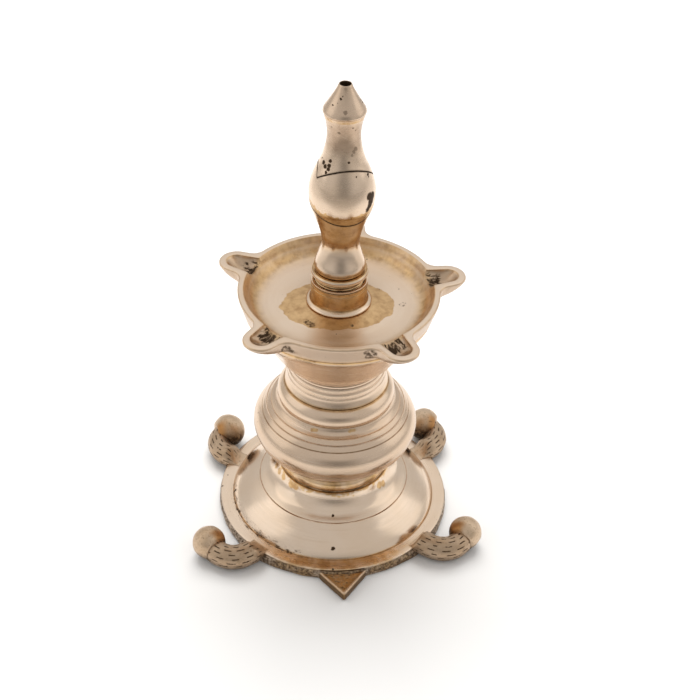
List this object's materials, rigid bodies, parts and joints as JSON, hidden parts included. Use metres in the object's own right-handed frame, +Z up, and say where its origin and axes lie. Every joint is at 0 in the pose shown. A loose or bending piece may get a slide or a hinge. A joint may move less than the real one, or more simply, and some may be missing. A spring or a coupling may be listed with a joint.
{
  "type": "standing oil lamp",
  "caption": "Standing brass oil lamp: tortoise base with curled legs, vase-shaped stem, oil tray with wick lips, and a finial that screws into its central socket.",
  "frame": {"origin": "centre of the footprint, on the surface that the lamp stands on", "axes": "+Z up along the lamp's axis, +Y towards the tortoise's head, +X to the tortoise's right"},
  "size_m": [0.1354, 0.138, 0.2266],
  "materials": {
    "turned_brass": "turned and polished, pale",
    "golden_brass": "turned and polished, warm",
    "cast_brass": "cast, filed and rubbed, with dark patina in the hollows",
    "inner_brass": "rough turned, unpolished"
  },
  "bodies": {
    "base": {"base_ring": "cast_brass", "tail_plate": "cast_brass", "tortoise_head": "cast_brass", "hind_leg_left": "cast_brass", "hind_leg_right": "cast_brass", "fore_leg_left": "cast_brass", "fore_leg_right": "cast_brass", "base_dome": "turned_brass", "dome_boss": "inner_brass"},
    "vase_seat": {"vase_washer": "inner_brass"},
    "vase": {"vase_spigot": "inner_brass", "foot_collar": "golden_brass", "vase_lower_shell": "turned_brass", "vase_upper_shell": "turned_brass", "vase_neck": "turned_brass", "neck_nut": "inner_brass"},
    "bowl_seat": {"bowl_washer": "inner_brass"},
    "bowl": {"bowl_spigot": "inner_brass", "bowl_cup": "turned_brass", "oil_tray": "turned_brass", "centre_socket": "golden_brass"},
    "finial_seat": {"finial_washer": "turned_brass"},
    "finial": {"finial_screw": "golden_brass", "finial_flange": "golden_brass", "finial_stem": "golden_brass", "finial_belly": "turned_brass", "finial_spire": "turned_brass"}
  },
  "joints": [
    {"name": "vase_turn", "type": "hinge", "parent": "base", "child": "vase_seat", "pos_m": [0, 0, 0.0277], "axis": [0, 0, 1], "range_deg": [0, 1800]},
    {"name": "vase_lift", "type": "slide", "parent": "vase_seat", "child": "vase", "axis": [0, 0, 1], "range_m": [0, 0.01]},
    {"name": "bowl_turn", "type": "hinge", "parent": "vase", "child": "bowl_seat", "pos_m": [0, 0, 0.0872], "axis": [0, 0, 1], "range_deg": [0, 1800]},
    {"name": "bowl_lift", "type": "slide", "parent": "bowl_seat", "child": "bowl", "axis": [0, 0, 1], "range_m": [0, 0.01]},
    {"name": "finial_turn", "type": "hinge", "parent": "bowl", "child": "finial_seat", "pos_m": [0, 0, 0.1323], "axis": [0, 0, 1], "range_deg": [0, 2160]},
    {"name": "finial_lift", "type": "slide", "parent": "finial_seat", "child": "finial", "axis": [0, 0, 1], "range_m": [0, 0.0075]}
  ],
  "couplings": [
    {"joint": "vase_lift", "follows": "vase_turn", "m_per_rad": 0.000318},
    {"joint": "bowl_lift", "follows": "bowl_turn", "m_per_rad": 0.000318},
    {"joint": "finial_lift", "follows": "finial_turn", "m_per_rad": 0.0001989}
  ]
}
